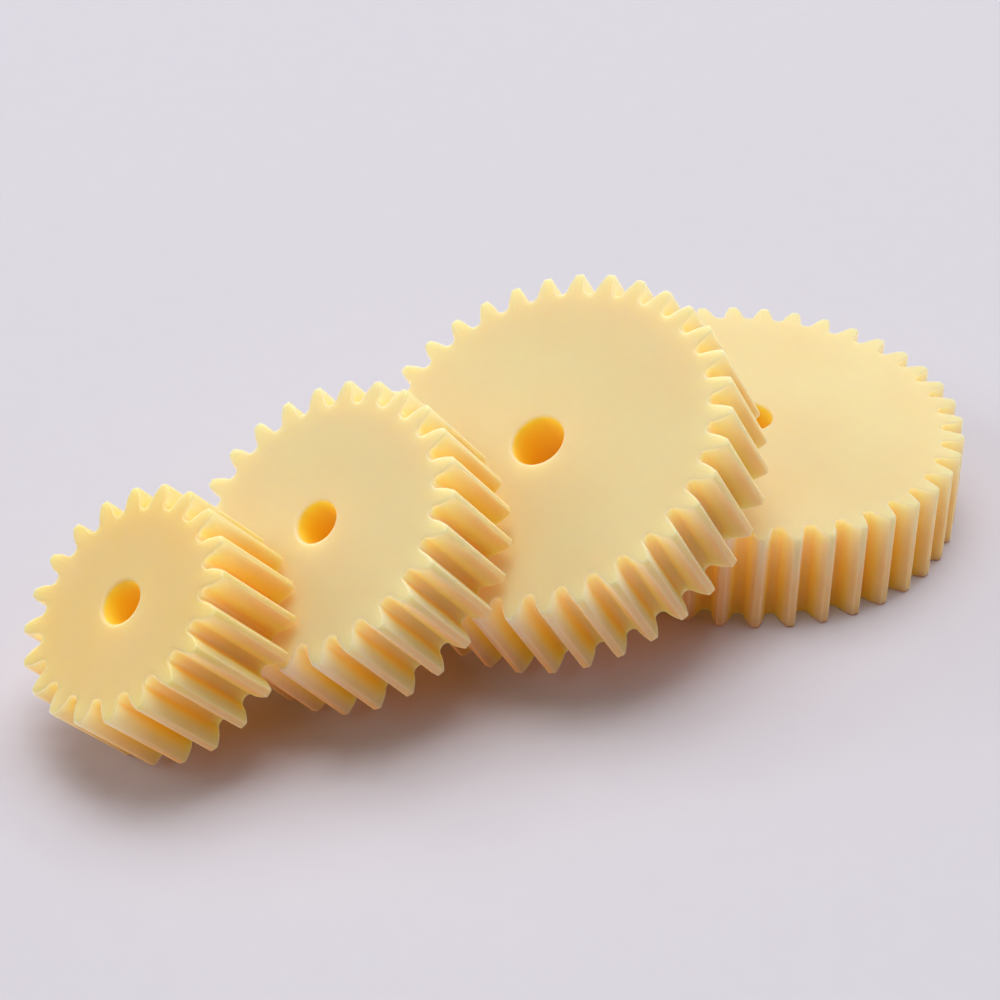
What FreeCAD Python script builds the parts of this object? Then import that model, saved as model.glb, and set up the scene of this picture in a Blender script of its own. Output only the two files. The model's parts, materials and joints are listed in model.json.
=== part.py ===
import FreeCAD, Part
import math
import os
import Sketcher

# Set of four spur gears of one module, each turned and hobbed from one piece of
# cast nylon: 20, 26, 35 and 40 teeth, one face width, plain bores, no hubs.
# The 40-tooth gear lies flat. The other three lean on it one behind the other,
# like fallen dominoes: each stands on its lower rim, and its back face rests on
# the upper rim of the gear behind it.
#
# Frame of the set: millimetres, +Z up, origin on the axis of the flat gear's
# bore, on the surface that the gears lie on. The others come towards -X and -Y.
# Each gear is drawn in a frame of its own, with its back face on Z = 0, its
# bore along Z and one tooth centred on X. Its Placement then tips and turns it.

# ------------------------------------------------------------------ the sizes

# What all four gears share: alias, value, note.
SHARED = [
    ("gear_module", 1.0, "mm of pitch diameter for each tooth"),
    ("pressure_angle", 20.0, "degrees"),
    ("addendum", 1.0, "mm from the pitch circle out to the tip"),
    ("dedendum", 1.25, "mm from the pitch circle in to the root"),
    ("flank_thinning", 0.08, "mm taken off each tooth at the pitch circle, for backlash"),
    ("face_width", 10.0, "mm along the bore"),
    ("rim_chamfer", 0.2, "mm, turned on both rims of the blank"),
    ("bore_chamfer", 0.3, "mm, at both mouths of the bore"),
    ("seat_clearance", 0.02, "mm between a leaning gear and what it rests on"),
]

# What each gear has of its own. The bore is a diameter. The angles are degrees:
# heading turns the gear about +Z, tilt tips its face from level, and spin turns
# it about its bore. sideways is how far its back face sits from the middle of
# the gear behind it, along its own level diameter.
OWN = ["teeth", "bore", "heading", "tilt", "spin", "sideways"]
GEARS = [
    ("gear_40t", [40, 5.0, 0.0, 0.0, -0.3, 0.0]),
    ("gear_35t", [35, 5.0, -50.9, 31.3, -0.4, 0.35]),
    ("gear_26t", [26, 4.0, -53.4, 38.6, 0.8, -2.75]),
    ("gear_20t", [20, 4.0, -56.3, 41.2, -7.4, -0.9]),
]

FLANK_POINTS = 9       # points that each involute curve is drawn through
PAST_TIP = 0.5         # mm that the cutting outline of a gap runs on past the tip
HALVINGS = 50          # steps of the search for the end of the root arc

CENTRE = FreeCAD.Vector(0, 0, 0)
UP = FreeCAD.Vector(0, 0, 1)
ACROSS = FreeCAD.Vector(1, 0, 0)


def fill_sheet(doc):
    """Write every driving dimension to the sheet, under its own alias."""
    sheet = doc.addObject("Spreadsheet::Sheet", "Sizes")
    rows = list(SHARED)
    for name, values in GEARS:
        rows += [(name + "_" + column, value, "") for column, value in zip(OWN, values)]
    for row, (alias, value, note) in enumerate(rows, start=1):
        sheet.set("A%d" % row, alias)
        sheet.set("B%d" % row, str(value))
        sheet.set("C%d" % row, note)
        sheet.setAlias("B%d" % row, alias)
    doc.recompute()
    return sheet


def bind(feature, cells):
    """Bind properties of a feature to expressions on the sheet."""
    for name, cell in cells.items():
        feature.setExpression(name, cell)


# ------------------------------------------------------------- a gap's outline

def polar(radius, angle):
    """Point at a radius and an angle in radians."""
    return FreeCAD.Vector(radius * math.cos(angle), radius * math.sin(angle), 0)


def involute(base_radius, radius):
    """Angle that the involute of a base circle has swept when it reaches a radius."""
    rolled = math.sqrt((radius / base_radius) ** 2 - 1)
    return rolled - math.atan(rolled)


class ToothGap:
    """Outline of the gap between two teeth, beside the tooth that lies on X.

    Two involute flanks run down into one round root, an arc tangent to both
    flanks and to the root circle. On a gear with few teeth the arc ends below
    the base circle, and a short radial line joins it to each involute.
    """

    def __init__(self, feature):
        feature.addProperty("App::PropertyInteger", "Teeth")
        feature.addProperty("App::PropertyAngle", "PressureAngle")
        for length in ("GearModule", "Addendum", "Dedendum", "FlankThinning"):
            feature.addProperty("App::PropertyLength", length)
        feature.Proxy = self

    def execute(self, feature):
        pitch = feature.GearModule.Value * feature.Teeth / 2
        root = pitch - feature.Dedendum.Value
        outside = pitch + feature.Addendum.Value + PAST_TIP
        base = pitch * math.cos(math.radians(feature.PressureAngle.Value))
        half_pitch = math.pi / feature.Teeth
        half_tooth = half_pitch / 2 - feature.FlankThinning.Value / (2 * pitch)
        base_half_gap = half_pitch - half_tooth - involute(base, pitch)

        def half_gap(radius):
            """Half the gap's angle at a radius on the involute."""
            return base_half_gap + involute(base, radius)

        def root_error(radius):
            """Height above the root circle of an arc that is tangent to both flanks here.

            The normal of an involute touches the base circle, which gives the
            arc's centre on the middle line of the gap.
            """
            centre = polar(base / math.cos(half_gap(radius) + math.acos(base / radius)), 0)
            return centre.x - centre.distanceToPoint(polar(radius, half_gap(radius))) - root

        def beside(radius, angle):
            """Point at an angle from the middle of the gap, which is half a pitch past X."""
            return polar(radius, half_pitch + angle)

        arc_end = root / (1 - math.sin(base_half_gap)) * math.cos(base_half_gap)
        flank_start = max(base, arc_end)
        if arc_end > base:
            inner, outer = base, outside
            for _ in range(HALVINGS):
                flank_start = (inner + outer) / 2
                if root_error(flank_start) < 0:
                    inner = flank_start
                else:
                    outer = flank_start
            arc_end = flank_start

        step = (outside - flank_start) / (FLANK_POINTS - 1)
        radii = [flank_start + step * point for point in range(FLANK_POINTS)]
        edges = []
        for side in (-1, 1):
            flank = Part.BSplineCurve()
            flank.interpolate([beside(radius, side * half_gap(radius)) for radius in radii])
            edges.append(flank.toShape())
            if arc_end < flank_start:
                ends = [beside(radius, side * base_half_gap) for radius in (arc_end, flank_start)]
                edges.append(Part.LineSegment(*ends).toShape())
        for end, middle in ((arc_end, root), (outside, outside)):
            angle = half_gap(max(end, base))
            arc = Part.Arc(beside(end, -angle), beside(middle, 0), beside(end, angle))
            edges.append(arc.toShape())
        feature.Shape = Part.Wire(Part.__sortEdges__(edges))
        feature.positionBySupport()


# -------------------------------------------------------------- a gear's body

def origin_part(body, role):
    """One of the body's own origin planes or axes."""
    return [part for part in body.Origin.OriginFeatures if part.Role == role][0]


def attach(feature, body, role):
    feature.AttachmentSupport = (origin_part(body, role), "")
    feature.MapMode = "FlatFace"


def add_blank(body, name):
    """Turned blank: a disc with its bore, revolved in one go with all the chamfers."""
    tip = "Sizes.gear_module * Sizes.%s_teeth / 2 + Sizes.addendum" % name
    bore = "Sizes.%s_bore / 2" % name
    # Corners of the half section: distance from the axis, height above the back face.
    corners = [
        (bore, "Sizes.bore_chamfer"),
        (bore + " + Sizes.bore_chamfer", None),
        (tip + " - Sizes.rim_chamfer", None),
        (tip, "Sizes.rim_chamfer"),
        (tip, "Sizes.face_width - Sizes.rim_chamfer"),
        (tip + " - Sizes.rim_chamfer", "Sizes.face_width"),
        (bore + " + Sizes.bore_chamfer", "Sizes.face_width"),
        (bore, "Sizes.face_width - Sizes.bore_chamfer"),
    ]
    section = body.newObject("Sketcher::SketchObject", name + "_section")
    attach(section, body, "XZ_Plane")
    # A rough octagon, which the constraints below pull to size.
    rough = [polar(1, math.radians(225 + 45 * index)) + FreeCAD.Vector(2, 2, 0) for index in range(8)]
    for index in range(8):
        section.addGeometry(Part.LineSegment(rough[index], rough[(index + 1) % 8]))
    for index, (across, height) in enumerate(corners):
        section.addConstraint(Sketcher.Constraint("Coincident", index, 2, (index + 1) % 8, 1))
        place = section.addConstraint(Sketcher.Constraint("DistanceX", -1, 1, index, 1, 1.0))
        section.setExpression("Constraints[%d]" % place, across)
        if height is None:
            section.addConstraint(Sketcher.Constraint("PointOnObject", index, 1, -1))
        else:
            place = section.addConstraint(Sketcher.Constraint("DistanceY", -1, 1, index, 1, 1.0))
            section.setExpression("Constraints[%d]" % place, height)
    blank = body.newObject("PartDesign::Revolution", name + "_blank")
    blank.Profile = section
    blank.ReferenceAxis = (section, ["V_Axis"])
    blank.Angle = 360
    return blank


def add_teeth(body, name):
    """Teeth: one gap cut right through the blank, then repeated round the axis."""
    outline = body.Document.addObject("Part::Part2DObjectPython", name + "_gap_outline")
    ToothGap(outline)
    bind(outline, {
        "Teeth": "Sizes.%s_teeth" % name,
        "PressureAngle": "Sizes.pressure_angle",
        "GearModule": "Sizes.gear_module",
        "Addendum": "Sizes.addendum",
        "Dedendum": "Sizes.dedendum",
        "FlankThinning": "Sizes.flank_thinning",
    })
    body.addObject(outline)
    attach(outline, body, "XY_Plane")
    gap = body.newObject("PartDesign::Pocket", name + "_gap")
    gap.Profile = outline
    gap.Type = "ThroughAll"
    gap.Reversed = True
    body.Document.recompute()
    teeth = body.newObject("PartDesign::PolarPattern", name + "_teeth_cut")
    teeth.Originals = [gap]
    teeth.Axis = (origin_part(body, "Z_Axis"), [""])
    teeth.Angle = 360
    teeth.setExpression("Occurrences", "Sizes.%s_teeth" % name)
    body.Tip = teeth
    return gap, teeth


def make_gear(doc, name):
    body = doc.addObject("PartDesign::Body", name)
    body.Label = name
    blank = add_blank(body, name)
    doc.recompute()
    gap, teeth = add_teeth(body, name)
    doc.recompute()
    one = blank.Shape.Volume - gap.Shape.Volume
    cut = (blank.Shape.Volume - teeth.Shape.Volume) / teeth.Occurrences
    if one <= 0 or abs(cut - one) > one / 1000:
        raise RuntimeError("%s: the gaps are not all cut" % name)
    return body


# ------------------------------------------------------- how the gears stand

class Stance:
    """Where one gear stands: its turn, the centre of its back face and its rim."""

    def __init__(self, sheet, name, behind):
        size = {column: sheet.get(name + "_" + column) for column in OWN}
        self.width = sheet.face_width
        self.chamfer = sheet.rim_chamfer
        self.tip = sheet.gear_module * size["teeth"] / 2 + sheet.addendum
        heading = FreeCAD.Rotation(UP, size["heading"])
        tipped = heading * FreeCAD.Rotation(ACROSS, size["tilt"])
        self.normal = tipped.multVec(UP)
        self.level = heading.multVec(ACROSS)
        self.turn = tipped * FreeCAD.Rotation(UP, size["spin"])
        self.back = CENTRE
        if behind is not None:
            self.back = self.lean_on(behind, size["sideways"], sheet.seat_clearance)

    def reach(self, direction):
        """How far the gear reaches from its back face's centre, at any spin."""
        along = direction.dot(self.normal)
        across = math.sqrt(max(1 - along ** 2, 0))
        corners = [
            (self.tip - self.chamfer, 0),
            (self.tip, self.chamfer),
            (self.tip, self.width - self.chamfer),
            (self.tip - self.chamfer, self.width),
        ]
        return max(radius * across + height * along for radius, height in corners)

    def front(self):
        return self.back + self.normal * self.width

    def lean_on(self, behind, sideways, clearance):
        """Centre of the back face, from the surface below and the gear behind.

        The lower rim stands on the surface, and the plane of the back face
        touches the highest reach of the other gear along this gear's axis.
        """
        outward = behind.back.dot(self.normal) + behind.reach(self.normal) + clearance
        level = behind.front().dot(self.level) + sideways
        height = self.reach(UP * -1) + clearance
        uphill = self.normal.cross(self.level)
        slid = (height - outward * self.normal.z) / uphill.z
        return self.normal * outward + self.level * level + uphill * slid


# ---------------------------------------------------------------- the whole set

def check(doc, bodies):
    """Stop on a feature that failed, or a gear that isn't one valid solid."""
    for feature in doc.Objects:
        if "Invalid" in feature.State or "Error" in feature.State:
            raise RuntimeError("%s failed: %s" % (feature.Label, feature.State))
    for body in bodies:
        if body.Shape.isNull() or not body.Shape.isValid() or len(body.Shape.Solids) != 1:
            raise RuntimeError("%s is not one valid solid" % body.Label)


def build():
    doc = FreeCAD.newDocument("spur_gear_set")
    sheet = fill_sheet(doc)
    bodies = []
    stance = None
    for name, _ in GEARS:
        body = make_gear(doc, name)
        stance = Stance(sheet, name, stance)
        body.Placement = FreeCAD.Placement(stance.back, stance.turn)
        bodies.append(body)
        print("%s: back %s, axis %s" % (name, tuple(stance.back), tuple(stance.normal)))
    doc.recompute()
    check(doc, bodies)
    os.makedirs("parts", exist_ok=True)
    for body in bodies:
        body.Shape.exportStep("parts/%s.step" % body.Label)
    return bodies


build()
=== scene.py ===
# %% [markdown]
# # Four cast nylon spur gears
# The set is four loose spur gears of one tooth size. Each is a single piece of
# cast nylon, turned on a lathe and then hobbed, so each is one object here. The
# largest lies flat, and the other three lean on it like fallen dominoes.
# The CAD model fixes where every gear lies and how big it is. This script
# imports it as a frame and builds the gears that are looked at around it.

import json
import math

import bpy
from mathutils import Matrix, Vector

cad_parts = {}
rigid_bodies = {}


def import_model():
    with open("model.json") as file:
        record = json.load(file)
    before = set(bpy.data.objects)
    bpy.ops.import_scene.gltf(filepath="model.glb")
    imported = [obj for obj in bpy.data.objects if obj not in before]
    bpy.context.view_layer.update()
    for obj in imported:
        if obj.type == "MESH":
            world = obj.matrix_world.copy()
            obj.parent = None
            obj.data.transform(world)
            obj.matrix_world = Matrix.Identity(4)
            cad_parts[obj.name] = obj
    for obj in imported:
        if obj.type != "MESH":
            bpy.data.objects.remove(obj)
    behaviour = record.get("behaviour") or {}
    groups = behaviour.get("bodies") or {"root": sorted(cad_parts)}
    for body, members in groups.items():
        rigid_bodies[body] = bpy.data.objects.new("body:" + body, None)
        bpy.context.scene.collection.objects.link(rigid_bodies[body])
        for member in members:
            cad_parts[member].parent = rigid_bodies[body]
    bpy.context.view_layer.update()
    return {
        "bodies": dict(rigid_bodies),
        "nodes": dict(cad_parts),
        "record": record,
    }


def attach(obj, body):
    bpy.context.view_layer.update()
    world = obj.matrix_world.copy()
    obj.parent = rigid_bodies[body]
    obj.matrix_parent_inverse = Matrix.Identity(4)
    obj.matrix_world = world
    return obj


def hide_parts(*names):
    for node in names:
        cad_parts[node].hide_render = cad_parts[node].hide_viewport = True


MM = 0.001  # metres in a millimetre

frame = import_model()
mounts = {mount["name"]: mount for mount in frame["record"]["mounts"]}

# %% [markdown]
# ## Two helpers for node trees
# Blender's node trees can be drawn by hand, but a gear's outline is a page of
# formulas, and formulas are easier to read as text. `add_node` adds one node
# with its settings and links. `Term` wraps one number of a tree, so that plain
# Python arithmetic on it adds the Math nodes. The geometry and the material
# both use these two.

# %% Helpers for node trees
def connect(node, links):
    """Link or set inputs of a node. links maps an input's name or number to a socket or a value."""
    for key, value in links.items():
        value = getattr(value, "socket", value)
        if isinstance(value, bpy.types.NodeSocket):
            node.id_data.links.new(value, node.inputs[key])
        else:
            node.inputs[key].default_value = value


def add_node(tree, kind, settings=None, links=None):
    """Add one node with its settings and links."""
    node = tree.nodes.new(kind)
    for name, value in (settings or {}).items():
        setattr(node, name, value)
    connect(node, links or {})
    return node


class Term:
    """One number of a node tree. Arithmetic on it adds Math nodes to that tree."""

    def __init__(self, tree, socket):
        self.tree, self.socket = tree, socket

    def do(self, operation, *values):
        """A Math node's answer for the values given, which need not include this one."""
        node = add_node(self.tree, "ShaderNodeMath", {"operation": operation}, dict(enumerate(values)))
        return Term(self.tree, node.outputs[0])

    def __add__(self, other):
        return self.do("ADD", self, other)

    def __radd__(self, other):
        return self.do("ADD", other, self)

    def __sub__(self, other):
        return self.do("SUBTRACT", self, other)

    def __rsub__(self, other):
        return self.do("SUBTRACT", other, self)

    def __mul__(self, other):
        return self.do("MULTIPLY", self, other)

    def __rmul__(self, other):
        return self.do("MULTIPLY", other, self)

    def __truediv__(self, other):
        return self.do("DIVIDE", self, other)

    def __rtruediv__(self, other):
        return self.do("DIVIDE", other, self)

    def cos(self):
        return self.do("COSINE", self)

    def sin(self):
        return self.do("SINE", self)

    def ramp(self, start, length=1.0):
        """0 up to start, 1 from start + length on, and a straight line between."""
        share = (self - start) / length
        return self.do("MINIMUM", self.do("MAXIMUM", share, 0.0), 1.0)


# %% [markdown]
# ## The gear as a rule
# A spur gear's shape follows from a few numbers: the teeth, the module (the
# pitch diameter for each tooth) and the pressure angle give every curve of its
# outline. It could be modelled by hand, one tooth at a time, but a rule makes
# all four gears from one tree and stays exact. So Geometry Nodes make it.
#
# The tree bends one flat grid into one tooth's slice of the gear. Columns of
# the grid run round the tooth: half its tip land, a rounded tip corner, the
# involute flank, and the round root, then the same mirrored. Rows run round the
# section: up the bore wall, round its mouth, across the face, round the edge
# and down the tooth. Copies of the slice turned round the axis are realized and
# merged at their shared edges, which closes the gear.

# %% Inputs of the gear tree
GEAR_INPUTS = {
    "Teeth": "NodeSocketInt",
    "Module": "NodeSocketFloat",
    "Pressure angle": "NodeSocketFloat",
    "Addendum": "NodeSocketFloat",
    "Dedendum": "NodeSocketFloat",
    "Flank thinning": "NodeSocketFloat",
    "Face width": "NodeSocketFloat",
    "Bore radius": "NodeSocketFloat",
    "Bore mouth rounding": "NodeSocketFloat",
    "Rim chamfer": "NodeSocketFloat",
    "Edge rounding": "NodeSocketFloat",
    "Tip rounding": "NodeSocketFloat",
    "Rod tint": "NodeSocketFloat",
    "Material": "NodeSocketMaterial",
}

gear_tree = bpy.data.node_groups.new("spur gear", "GeometryNodeTree")
gear_tree.interface.new_socket("Geometry", in_out="OUTPUT", socket_type="NodeSocketGeometry")
for name, kind in GEAR_INPUTS.items():
    gear_tree.interface.new_socket(name, in_out="INPUT", socket_type=kind)
inputs = add_node(gear_tree, "NodeGroupInput")
size = {name: Term(gear_tree, inputs.outputs[name]) for name in GEAR_INPUTS}
print("gear tree inputs:", ", ".join(GEAR_INPUTS))

# %% [markdown]
# ## Round a tooth
# Angles are counted from the middle of the tooth. An involute is the path of
# the end of a string that unwinds from the base circle, so a point on the flank
# is a corner on that circle plus the free length of string, and the string is
# also the direction that the flank faces. The round root is the arc that
# touches both flanks and the root circle; Newton's rule finds where it starts.
# Each part gives a point and the direction it faces, and the column's number
# picks the part.

# %% Circles and angles of one tooth
pitch = size["Module"] * size["Teeth"] / 2
root = pitch - size["Dedendum"]
tip = pitch + size["Addendum"]
base = pitch * size["Pressure angle"].cos()
half_pitch = math.pi / size["Teeth"]
swept = size["Pressure angle"].do("TANGENT", size["Pressure angle"]) - size["Pressure angle"]
base_half_tooth = half_pitch / 2 - size["Flank thinning"] / (2 * pitch) + swept
base_half_gap = half_pitch - base_half_tooth
print("nodes for the circles:", len(gear_tree.nodes))

# %% The round root and the rounded tip corner
NEWTON_STEPS = 3  # each about doubles the right digits, and three reach a node's precision
TINY = 1e-6  # what is smaller than this counts as zero

# The root arc starts where the flank leans by this angle from the gap's middle.
# The first guess is held off zero, because the rule divides by its sine.
target = root / base + base_half_gap
target = target.do("MAXIMUM", target, 1 + TINY)
lean = target.do("SQRT", (target - 1) * 2)
for _ in range(NEWTON_STEPS):
    reached = (1 - lean.sin()) / lean.cos() + lean
    lean = lean + (target - reached) * (1 + lean.sin()) / lean.sin()
lean = lean.do("MAXIMUM", lean, base_half_gap)
root_pivot = root.do("MINIMUM", base / lean.cos(), root / (1 - lean.sin()))

# The rounded tip corner is centred on the involute drawn one radius further in.
corner = size["Tip rounding"]
corner_turn = base.do("ARCCOSINE", base / (tip - corner))
corner_roll = corner_turn.do("TANGENT", corner_turn)
corner_angle = base_half_tooth - corner / base - corner_roll + corner_turn
top_roll = corner_roll + corner / base
root_roll = lean - base_half_gap
print("nodes with the root and the tip:", len(gear_tree.nodes))

# %% The flat grid
COLUMNS = (2, 3, 6, 5)  # half a tooth: land, tip corner, flank, root
HALF_COLUMNS = sum(COLUMNS)
ROWS = 14  # half a section, from the bore's wall out over one face to the tooth
SECTION = 2 * ROWS

grid = add_node(gear_tree, "GeometryNodeMeshGrid", links={
    "Size X": 2.0 * HALF_COLUMNS, "Vertices X": 2 * HALF_COLUMNS + 1,
    "Size Y": float(SECTION), "Vertices Y": SECTION + 1,
})
place = add_node(gear_tree, "ShaderNodeSeparateXYZ", links={
    0: add_node(gear_tree, "GeometryNodeInputPosition").outputs[0],
})
across = Term(gear_tree, place.outputs["X"])
column = across.do("ABSOLUTE", across)
side = across.do("SIGN", across)
print("grid:", 2 * HALF_COLUMNS, "columns and", SECTION, "rows for each tooth")

# %% A point of the outline for each column
ends = [sum(COLUMNS[:count]) for count in range(len(COLUMNS) + 1)]
land_share, corner_share, flank_share, root_share = (
    column.ramp(float(start), float(columns)) for start, columns in zip(ends, COLUMNS)
)
roll = top_roll + flank_share * (root_roll - top_roll)
corner_facing = corner_angle + corner_share * (base_half_tooth - top_roll + math.pi / 2 - corner_angle)
root_facing = half_pitch + (math.pi / 2 - lean) * (1 - root_share)
# Every part is a pivot, at a distance and an angle, and a reach from it in the
# direction that the outline faces.
PARTS = {
    "land": (tip, corner_angle * land_share, 0.0, corner_angle * land_share),
    "corner": (tip - corner, corner_angle, corner, corner_facing),
    "flank": (base, base_half_tooth - roll, base * roll, base_half_tooth - roll + math.pi / 2),
    "root": (root_pivot, half_pitch, root - root_pivot, root_facing),
}
part = sum(column.do("GREATER_THAN", column, end + 0.5) for end in ends[1:-1])

picked = []
for values in zip(*PARTS.values()):
    switch = add_node(gear_tree, "GeometryNodeIndexSwitch", {"data_type": "FLOAT"})
    while len(switch.index_switch_items) < len(PARTS):
        switch.index_switch_items.new()
    connect(switch, dict(enumerate([part, *values])))
    picked.append(Term(gear_tree, switch.outputs[0]))
pivot, pivot_angle, reach, facing = picked
print("outline parts:", ", ".join(PARTS))

# %% [markdown]
# ## Through the width
# A hobbed gear has a sharp burr on every edge until it is tumbled, which leaves
# the small roundings that catch the light. A Bevel modifier could add them, but
# it struggles where the root arc and the flat face meet, so the grid's rows are
# the section itself: each row is either a ring round the bore or the outline
# pulled in a little, at its own height.

# %% Rows of the section
MOUTH, FACE, OUTLINE, EDGE = 1, 4, 7, 8  # first rows of the bore's mouth, the face, the outline, the edge
EDGE_END = ROWS - 2  # the edge's last row, with one more just below it
HOLD = 0.03 * MM  # a row this close beside a rounding keeps the flat beside it flat
RING_MARGIN = 1.0 * MM  # from the root circle in to the last full ring of the face

along = Term(gear_tree, place.outputs["Y"]) + ROWS
along = along.do("MODULO", along, float(SECTION))
lower = along.do("LESS_THAN", along, ROWS - 0.5)
row = along.do("MINIMUM", along, SECTION - 1 - along)
outer = row.do("GREATER_THAN", row, OUTLINE - 0.5)
mouth_turn = row.ramp(float(MOUTH), float(FACE - MOUTH)) * (math.pi / 2)
edge_turn = row.ramp(float(EDGE), float(EDGE_END - EDGE)) * (math.pi / 2)
mouth, edge = size["Bore mouth rounding"], size["Edge rounding"]
print("rows of the section:", SECTION)

# %% Distance, angle and height of each point
ring = size["Bore radius"] + mouth * (1 - mouth_turn.cos()) + row.ramp(float(FACE)) * HOLD
ring = ring + row.ramp(FACE + 1.0) * (root - RING_MARGIN - ring)
inset = edge * (1 - edge_turn.sin()) + (1 - row.ramp(EDGE - 1.0)) * HOLD
half_width = size["Face width"] / 2
height = half_width - mouth * (1 - mouth_turn.sin()) - edge * (1 - edge_turn.cos())
height = height - HOLD * (1 - row.ramp(0.0) + row.ramp(float(EDGE_END)))

even_angle = column / HALF_COLUMNS * half_pitch
distance = ring + outer * (pivot - ring)
angle = even_angle + outer * (pivot_angle - even_angle)
offset = outer * (reach - inset)
new_x = distance * angle.cos() + offset * facing.cos()
new_y = side * (distance * angle.sin() + offset * facing.sin())
new_z = half_width + height * (1 - lower * 2)

# The chamfer turned on the blank's rims trims what stands out past it.
rim = tip - size["Rim chamfer"] + half_width - height
radius = new_x.do("SQRT", new_x * new_x + new_y * new_y)
trim = rim.do("MINIMUM", rim / radius, 1.0)
new_x, new_y, radius = new_x * trim, new_y * trim, radius * trim
print("nodes with the section:", len(gear_tree.nodes))

# %% [markdown]
# ## Marks for the material
# Three numbers are stored for the material: how deep a point lies between the
# teeth or inside the bore, how near it is to the middle of a rounded edge, and
# how amber the rod is. They are read from the flat grid, so they have to be
# stored before the grid is bent. A fourth mark, the point's place in its own
# gear, is stored once the gear is whole: the patterns are drawn by it, so they
# lie and turn with the gear. A UV map could carry them too, but it would need
# seams, and a place in space has none.

# %% One slice with its marks
tooth_depth = (tip - radius) / (tip - root) * outer * edge_turn.sin()
bore_depth = (1 - outer) * (1 - row.ramp(MOUTH - 1.0, float(FACE - MOUTH + 1)))
corner_mark = outer * (corner_share * math.pi).sin()
SLICE_MARKS = {
    "depth": tooth_depth + bore_depth,
    "rounded": row.do("MAXIMUM", (edge_turn * 2).sin() + (mouth_turn * 2).sin(), corner_mark),
    "rod_tint": size["Rod tint"],
}

shape = grid.outputs["Mesh"]
for name, value in SLICE_MARKS.items():
    store = add_node(gear_tree, "GeometryNodeStoreNamedAttribute", {"data_type": "FLOAT"}, {
        "Geometry": shape, "Name": name, "Value": value,
    })
    shape = store.outputs[0]
bent = add_node(gear_tree, "ShaderNodeCombineXYZ", links={0: new_x, 1: new_y, 2: new_z})
shape = add_node(gear_tree, "GeometryNodeSetPosition", links={
    "Geometry": shape, "Position": bent.outputs[0],
}).outputs[0]
print("marks on a slice:", ", ".join(SLICE_MARKS))

# %% The whole gear
WELD = 0.001 * MM  # points of neighbouring slices this close become one

number = Term(gear_tree, add_node(gear_tree, "GeometryNodeInputIndex").outputs[0])
turn = add_node(gear_tree, "ShaderNodeCombineXYZ", links={2: number * half_pitch * 2})
points = add_node(gear_tree, "GeometryNodePoints", links={"Count": size["Teeth"]})
copies = add_node(gear_tree, "GeometryNodeInstanceOnPoints", links={
    "Points": points.outputs[0], "Instance": shape, "Rotation": turn.outputs[0],
})
whole = add_node(gear_tree, "GeometryNodeRealizeInstances", links={0: copies.outputs[0]}).outputs[0]
whole = add_node(gear_tree, "GeometryNodeMergeByDistance", links={
    "Geometry": whole, "Distance": WELD,
}).outputs[0]
whole = add_node(gear_tree, "GeometryNodeSetShadeSmooth", links={"Geometry": whole}).outputs[0]
whole = add_node(gear_tree, "GeometryNodeStoreNamedAttribute", {"data_type": "FLOAT_VECTOR"}, {
    "Geometry": whole, "Name": "own_place",
    "Value": add_node(gear_tree, "GeometryNodeInputPosition").outputs[0],
}).outputs[0]
whole = add_node(gear_tree, "GeometryNodeSetMaterial", links={
    "Geometry": whole, "Material": size["Material"],
}).outputs[0]
add_node(gear_tree, "NodeGroupOutput", links={"Geometry": whole})
print("gear tree nodes:", len(gear_tree.nodes))

# %% [markdown]
# ## Cast nylon
# Natural cast nylon is a waxy ivory plastic. Light enters it, wanders about for
# some millimetres and comes out again, so thin teeth glow and deep places turn
# honey and orange, because blue is absorbed first and red last. The shader's
# subsurface scattering does most of this, but light that crosses a whole gear
# and comes out between its teeth or in its bore is more than it can follow. So
# painted light and shade stand for that light: tints laid by how shut in a
# point is, how deep it lies and which way it faces, paler rounded edges, and a
# faint painted glow.

# %% Colours
def srgb(code):
    """Linear colour of an sRGB hex code."""
    shares = [int(code[i:i + 2], 16) / 255 for i in (0, 2, 4)]
    return (*(s / 12.92 if s <= 0.04045 else ((s + 0.055) / 1.055) ** 2.4 for s in shares), 1.0)


IVORY = srgb("DCCB97")  # the plastic itself, on an open face
CLOUD = srgb("DCC28E")  # where it set a little more yellow
AMBER = srgb("DDC07C")  # the rod that the smallest gear is cut from
# The colours below are painted light and shade: highlights, tints of shut-in places and glow.
PALE = srgb("F4DCA8")  # a rounded edge, where light comes out at once
CREAM = srgb("FFF0D0")  # teeth near the upper face, lit from all sides
HONEY = srgb("FFD830")  # hollows that still see the lights
BEIGE = srgb("DDA888")  # the tips of teeth that face sideways
ORANGE = srgb("FF9C24")  # shut-in flanks that face the floor
DEEP = srgb("F09C14")  # shut-in walls of gaps, and further down a bore
BORE = srgb("F6D834")  # the bore's wall
TIP_GLOW = srgb("FFA060")  # light that has crossed a tooth
GAP_GLOW = srgb("FFD050")  # light that comes out between teeth
print("ivory in linear light:", [round(share, 3) for share in IVORY[:3]])

# %% What the material knows about a point
FACE_WIDTH = mounts["teeth_40t"]["dims"]["length_mm"] * MM  # the same for all four gears
LIGHT_REACH = 14 * MM  # neighbours nearer than this shut a point in

nylon = bpy.data.materials.new("cast nylon, hobbed and tumbled")
nylon.use_nodes = True
tree = nylon.node_tree
tree.nodes.clear()

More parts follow.
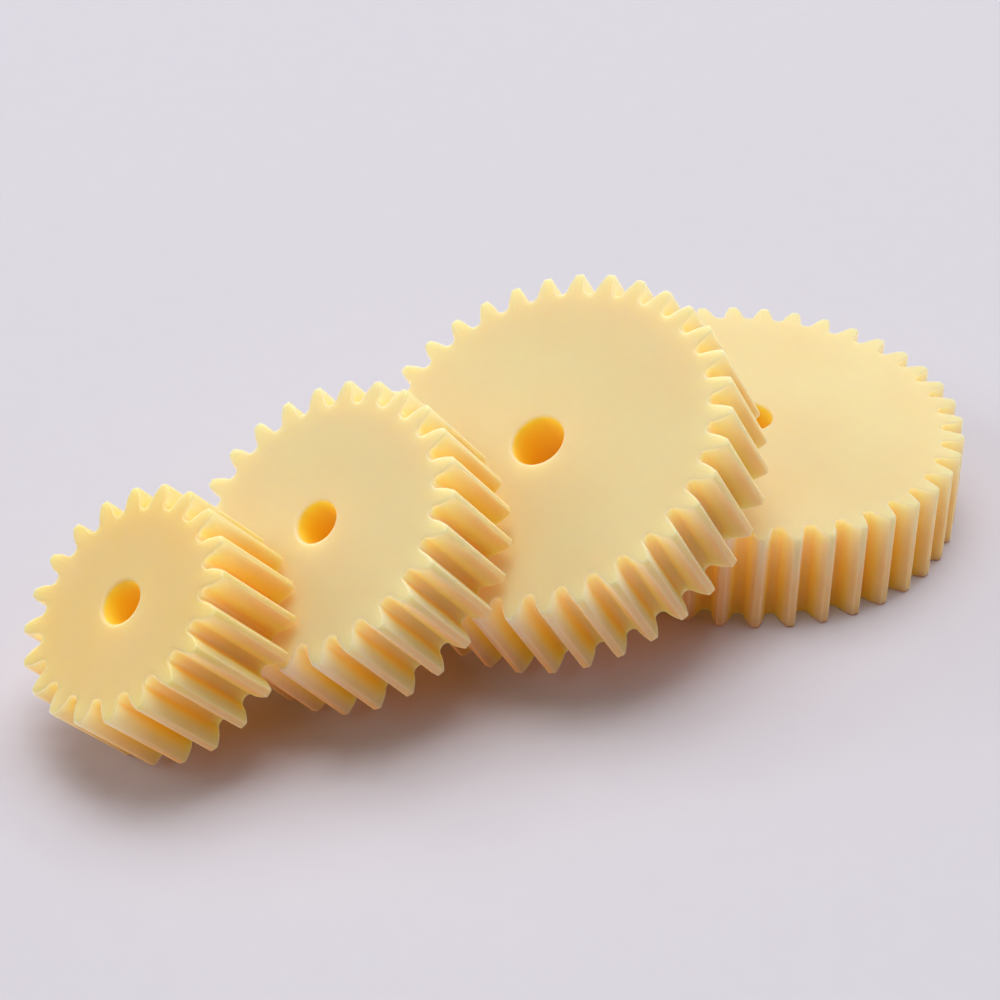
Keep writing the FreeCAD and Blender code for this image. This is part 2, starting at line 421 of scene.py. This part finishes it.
marks = {
    name: add_node(tree, "ShaderNodeAttribute", {"attribute_name": name})
    for name in ("own_place", "depth", "rounded", "rod_tint")
}
own = marks["own_place"].outputs["Vector"]
where = add_node(tree, "ShaderNodeSeparateXYZ", links={0: own})
own_x, own_y, own_z = (Term(tree, where.outputs[i]) for i in range(3))
own_radius = own_x.do("SQRT", own_x * own_x + own_y * own_y)
below_face = FACE_WIDTH - own_z
marked_depth, painted_edge_light, amber = (
    Term(tree, marks[name].outputs["Fac"]) for name in ("depth", "rounded", "rod_tint")
)
normal = add_node(tree, "ShaderNodeSeparateXYZ", links={
    0: add_node(tree, "ShaderNodeNewGeometry").outputs["Normal"],
})
facing_up = Term(tree, normal.outputs["Z"])
hidden = add_node(tree, "ShaderNodeAmbientOcclusion", {"samples": 8}, {"Distance": LIGHT_REACH})
shut_in = 1 - Term(tree, hidden.outputs["AO"])
print("marks the nylon reads:", ", ".join(marks))

# %% Regions of a gear
# Each is a share from 0 to 1: a ramp's first number is where it starts and its
# second how long it takes.
outside_bore = own_radius.ramp(3 * MM, 2 * MM)  # the widest bore reaches 2.5 mm out
valley = marked_depth.ramp(0.15, 0.35)  # between the teeth, and not on their tips
wall = 1 - facing_up.ramp(0.0, 0.5)  # upright or facing down
below = 1 - facing_up.ramp(-0.6, 0.2)  # facing the floor
past_rim = below_face.ramp(0.0, 1.2 * MM)  # 0 at the upper face and 1 just below it
far_end = below_face.ramp(1.5 * MM, 7.0 * MM)  # grows towards the back face
upper_half = own_z.ramp(0.45 * FACE_WIDTH, 0.5 * FACE_WIDTH)  # grows towards the upper face
near_face = upper_half * outside_bore * (1 - facing_up.ramp(0.3, 0.4))  # a tooth's bright end
print("nodes for the regions:", len(tree.nodes))

# %% Tints
CLOUD_SIZE = 9 * MM  # cast rod sets in clouds some millimetres across

cloud = Term(tree, add_node(tree, "ShaderNodeTexNoise", links={
    "Vector": own, "Scale": 1 / CLOUD_SIZE, "Detail": 3.0, "Roughness": 0.55,
}).outputs["Fac"])
# Masks for painted light and shade, from how shut in a point is and which way it faces.
honeyed = shut_in.ramp(0.3, 0.6) * (0.35 + 0.65 * facing_up.ramp(-0.4, 0.6))
honeyed = honeyed * (1 - 0.85 * near_face) * (0.3 + 0.7 * valley)
sideways_tip = (1 - valley) * wall * outside_bore * (1 - near_face)
under_flank = shut_in.ramp(0.3, 0.3) * 0.4 * (1 - facing_up.ramp(-0.7, 0.9))
under_flank = under_flank * (1 - 0.7 * valley) * outside_bore
gap_end = shut_in.ramp(0.45, 0.25) * 0.5 * valley * outside_bore
gap_end = gap_end * facing_up.ramp(-0.3, 0.3) * (1 - 0.7 * near_face)
TINTS = (
    (amber, AMBER),
    (cloud.ramp(0.35, 0.3) * 0.5, CLOUD),
    # painted light: teeth near the upper face paler, lit from all sides
    (near_face * shut_in.ramp(0.0, 0.2) * 0.7, CREAM),
    # painted shade and carried light: honey in hollows, by how shut in they are and which way they face
    (honeyed, HONEY),
    # painted shade: beige on tooth tips that face sideways
    (sideways_tip * 0.5, BEIGE),
    # painted shade and carried light: orange on shut-in flanks that face the floor
    (under_flank, ORANGE),
    # painted shade: deep orange on shut-in walls of gaps
    (gap_end, DEEP),
    # painted shade and carried light: the bore's wall tinted by how shut in it is
    (shut_in.ramp(0.4, 0.3) * 0.7 * (1 - outside_bore), BORE),
    # painted shade: deeper orange further down the bore
    (below_face.ramp(1 * MM, 6 * MM) * 0.5 * (1 - outside_bore), DEEP),
    # painted highlight: rounded edges paler, where light comes out at once
    (painted_edge_light * 0.25, PALE),
)
colour = IVORY
for share, over in TINTS:
    tint = add_node(tree, "ShaderNodeMix", {"data_type": "RGBA"}, {0: share, 6: colour, 7: over})
    colour = tint.outputs[2]
print("tints laid over the ivory:", len(TINTS))

# %% Light carried through the plastic
# A faint glow of its own, under a third of full brightness even where all of
# these add up.
ENCLOSED_GLOW = 0.11
DEPTH_GLOW = 0.09
WALL_GLOW = 0.09
UNDERSIDE_GLOW = 0.11

deep = marked_depth * (0.3 + 0.7 * past_rim) * (1 - 0.6 * far_end)
carried = ENCLOSED_GLOW * shut_in.ramp(0.15, 0.6) + DEPTH_GLOW * deep * outside_bore
carried = carried * (1 - 0.7 * far_end * outside_bore)
through_walls = WALL_GLOW * wall * outside_bore * (1 - 0.9 * shut_in.ramp(0.2, 0.5))
gear_glow = add_node(tree, "ShaderNodeMix", {"data_type": "RGBA"}, {
    0: valley, 6: TIP_GLOW, 7: GAP_GLOW,
})
glow_colour = add_node(tree, "ShaderNodeMix", {"data_type": "RGBA"}, {
    0: wall * outside_bore, 6: colour, 7: gear_glow.outputs[2],
})
print("nodes with the glow:", len(tree.nodes))

# %% Turned and tumbled surface
# The facing tool leaves a spiral so fine that it reads as rings, and tumbling
# leaves a grain that dulls it, so the eye sees a satin plastic with no mirror
# in it.
FEED = 0.22 * MM  # a real facing cut feeds about half of this, which is too fine to show
GRAIN_SIZE = 0.35 * MM  # tumbling marks are finer, and are drawn as coarse as they need to show
MARK_HEIGHT = 0.004 * MM  # how high a mark of either kind stands

grain = Term(tree, add_node(tree, "ShaderNodeTexNoise", links={
    "Vector": own, "Scale": 1 / GRAIN_SIZE, "Detail": 2.0,
}).outputs["Fac"])
ripple = (own_radius * (2 * math.pi / FEED)).sin()
bump = add_node(tree, "ShaderNodeBump", links={
    "Strength": 0.35, "Distance": MARK_HEIGHT, "Height": ripple * 0.5 + grain * 0.5,
})
shader = add_node(tree, "ShaderNodeBsdfPrincipled", {"subsurface_method": "RANDOM_WALK"}, {
    "Base Color": colour,
    "Roughness": 0.50 + grain * 0.1,
    "IOR": 1.53,  # nylon 6
    "Specular IOR Level": 0.15,  # under the usual 0.5: a tumbled surface spreads its gloss thin
    "Subsurface Weight": 1.0,
    "Subsurface Radius": (1.0, 0.8, 0.4),  # red wanders furthest and blue least
    "Subsurface Scale": 5.0 * MM,  # about how far light wanders in nylon
    "Emission Color": glow_colour.outputs[2],
    "Emission Strength": carried + through_walls + UNDERSIDE_GLOW * below,
    "Normal": bump.outputs[0],
})
add_node(tree, "ShaderNodeOutputMaterial", links={"Surface": shader.outputs[0]})
print("material:", nylon.name, "with", len(tree.nodes), "nodes")

# %% [markdown]
# ## Place the four gears
# The frame's record gives each gear's pitch radius, width, bore and axis. Only
# the turn about that axis has to be measured: at the tip circle of the CAD mesh
# the corners of every tooth lie evenly about its middle, so the sum of those
# corners, each turned by its angle times the number of teeth, points there.

# %% Sizes that all four gears share
MODULE = 1.0 * MM
SHARED = {
    "Module": MODULE,
    "Pressure angle": math.radians(20),
    "Addendum": 1.0 * MODULE,
    "Dedendum": 1.25 * MODULE,
    "Flank thinning": 0.08 * MM,
    "Bore mouth rounding": 0.3 * MM,
    "Rim chamfer": 0.2 * MM,
    "Edge rounding": 0.18 * MM,
    # The outline is pulled in by the edge rounding and HOLD, and folds over itself
    # if that comes to more than this.
    "Tip rounding": 0.22 * MM,
    "Material": nylon,
}
ROD_TINTS = {20: 1.0}  # the smallest gear is cut from a more amber rod
identifiers = {
    item.name: item.identifier for item in gear_tree.interface.items_tree if item.in_out == "INPUT"
}
print("module, mm:", MODULE / MM, "and inputs:", len(identifiers))


# %% Where a gear lies
MESH_ERROR = 0.01 * MM  # how far the CAD mesh's points may stand off the tip circle


def stand(mount, node, teeth):
    """Where a gear lies, as a matrix from its own frame (back face at zero, a tooth on X), and its turn."""
    normal = Vector(mount["axis"]).normalized()
    level = Vector((0, 0, 1)).cross(normal)
    level = level.normalized() if level.length > TINY else Vector((1, 0, 0))
    uphill = normal.cross(level)
    centre = Vector(mount["pos_m"])
    tip_radius = (mount["dims"]["r_mm"] + SHARED["Addendum"] / MM) * MM
    total = 0
    for vertex in node.data.vertices:
        spoke = vertex.co - centre
        x, y = spoke.dot(level), spoke.dot(uphill)
        if abs(math.hypot(x, y) - tip_radius) < MESH_ERROR:
            wound = teeth * math.atan2(y, x)
            total += complex(math.cos(wound), math.sin(wound))
    phase = math.atan2(total.imag, total.real) / teeth
    turned = Matrix((level, uphill, normal)).transposed().to_4x4() @ Matrix.Rotation(phase, 4, "Z")
    back = centre - normal * (mount["dims"]["length_mm"] * MM / 2)
    return Matrix.Translation(back) @ turned, phase


# %% Make each gear and put it on its body
for body in frame["bodies"]:
    suffix = body.removeprefix("gear")
    mount = mounts["teeth" + suffix]
    teeth = round(2 * mount["dims"]["r_mm"] * MM / MODULE)
    sizes = {
        **SHARED,
        "Teeth": teeth,
        "Rod tint": ROD_TINTS.get(teeth, 0.0),
        "Face width": mount["dims"]["length_mm"] * MM,
        "Bore radius": mounts["bore" + suffix]["dims"]["r_mm"] * MM,
    }
    maker = bpy.data.objects.new("maker", bpy.data.meshes.new("maker"))
    bpy.context.scene.collection.objects.link(maker)
    modifier = maker.modifiers.new("spur gear", "NODES")
    modifier.node_group = gear_tree
    for name, value in sizes.items():
        modifier[identifiers[name]] = value
    shaped = maker.evaluated_get(bpy.context.evaluated_depsgraph_get())
    mesh = bpy.data.meshes.new_from_object(shaped)
    bpy.data.objects.remove(maker)
    matrix, phase = stand(mount, frame["nodes"][body], teeth)
    mesh.transform(matrix)
    mesh.name = "nylon_" + body
    gear = bpy.data.objects.new("nylon_" + body, mesh)
    bpy.context.scene.collection.objects.link(gear)
    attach(gear, body)
    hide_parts(body)
    print(body, "teeth", teeth, "turn", round(math.degrees(phase), 3), "faces", len(mesh.polygons))

# %% [markdown]
# ## Floor and light
# The gears lie on a pale sheet of matt paper that fills the view. Paper could
# be one flat colour, but its fibres leave faint clouds, and a touch of noise
# between two greys gives them. Seven broad soft lights stand round the gears,
# the strongest straight above: together they leave the faces even and the
# shadows short, which one lamp could not do. The pale rims are partly painted
# highlight on the nylon, and the warmth of the shadows is partly the painted
# glow of the gears' undersides.

# %% Floor
HALF_SHEET = 1.5  # metres
DROP = -0.02 * MM  # just under the flat gear's back face, so that the two never share a plane
CORNERS = ((-1, -1), (1, -1), (1, 1), (-1, 1))

floor_mesh = bpy.data.meshes.new("floor")
floor_mesh.from_pydata([(x * HALF_SHEET, y * HALF_SHEET, DROP) for x, y in CORNERS], [], [(0, 1, 2, 3)])
floor = bpy.data.objects.new("floor", floor_mesh)
bpy.context.scene.collection.objects.link(floor)
print("floor, metres:", 2 * HALF_SHEET, "square")

# %% Paper
FIBRE_SIZE = 3 * MM  # clumps of fibres, since single ones are too fine to show

paper = bpy.data.materials.new("matt studio paper")
paper.use_nodes = True
tree = paper.node_tree
tree.nodes.clear()
fibres = add_node(tree, "ShaderNodeTexNoise", links={
    "Vector": add_node(tree, "ShaderNodeTexCoord").outputs["Object"],
    "Scale": 1 / FIBRE_SIZE,
    "Detail": 4.0,
})
tone = add_node(tree, "ShaderNodeMix", {"data_type": "RGBA"}, {
    0: fibres.outputs["Fac"], 6: srgb("C4C0C8"), 7: srgb("C6C3CA"),
})
sheet = add_node(tree, "ShaderNodeBsdfPrincipled", links={
    "Base Color": tone.outputs[2],
    "Roughness": 0.9,
    "Specular IOR Level": 0.1,  # uncoated paper has hardly any gloss
})
add_node(tree, "ShaderNodeOutputMaterial", links={"Surface": sheet.outputs[0]})
floor_mesh.materials.append(paper)
print("material:", paper.name)

# %% Lights
TARGET = Vector((-0.02, 0.0, 0.0))  # metres: the middle of the set, where every light points
PANEL = (1.0, 0.8)  # metres
# Each light's place in metres, and its watts.
LIGHTS = {
    "over": ((0.0, 0.1, 1.7), 15.4),
    "back left": ((-0.45, 0.75, 1.5), 7.3),
    "back right": ((0.5, 0.7, 1.4), 7.8),
    "left": ((-1.4, 0.1, 0.75), 7.6),
    "right": ((1.4, 0.1, 0.75), 3.0),
    "low back right": ((1.2, 1.1, 0.7), 3.5),
    "front left": ((-0.9, -0.9, 1.1), 3.7),
}
for name, (place, watts) in LIGHTS.items():
    light = bpy.data.lights.new(name, "AREA")
    light.shape = "RECTANGLE"
    light.size, light.size_y = PANEL
    light.energy = watts
    holder = bpy.data.objects.new(name, light)
    holder.location = place
    holder.rotation_mode = "QUATERNION"
    holder.rotation_quaternion = (TARGET - Vector(place)).to_track_quat("-Z", "Y")
    bpy.context.scene.collection.objects.link(holder)

world = bpy.data.worlds.new("pale studio")
world.use_nodes = True
connect(world.node_tree.nodes["Background"], {"Color": srgb("E6E4EA"), "Strength": 0.08})
bpy.context.scene.world = world
print("lights:", len(LIGHTS), "with", round(sum(watts for _, watts in LIGHTS.values()), 1), "watts in all")

# %% [markdown]
# ## Camera
# A long lens from the front, a third of the way up, as for a catalogue picture.
# It could aim at an empty object with a constraint, but a direction and its two
# sides make the camera's matrix in a few lines, and leave nothing in the scene
# to move by mistake.

# %% Camera
SENSOR = 36  # millimetres across
LENS = 91.39  # millimetres
ELEVATION = math.radians(34.53)
ROLL = math.radians(0.681)  # the camera leans this little
DISTANCE = 251.91 * MM
AIM = Vector((-23.87, -0.48, 0)) * MM  # the spot on the floor in the middle of the view
NEAREST = 10 * MM  # nothing closer to the lens than this is drawn

forward = Vector((0, math.cos(ELEVATION), -math.sin(ELEVATION)))
level = Vector((1, 0, 0))
upright = level.cross(forward)
right = level * math.cos(ROLL) + upright * math.sin(ROLL)
above = upright * math.cos(ROLL) - level * math.sin(ROLL)
turned = Matrix((right, above, -forward)).transposed().to_4x4()

camera_data = bpy.data.cameras.new("camera")
camera_data.lens = LENS
camera_data.sensor_width = SENSOR
camera_data.clip_start = NEAREST
camera = bpy.data.objects.new("camera", camera_data)
camera.matrix_world = Matrix.Translation(AIM - forward * DISTANCE) @ turned
bpy.context.scene.collection.objects.link(camera)
bpy.context.scene.camera = camera
bpy.context.scene.view_settings.view_transform = "Standard"
print("camera at, mm:", [round(value / MM, 1) for value in camera.matrix_world.translation])
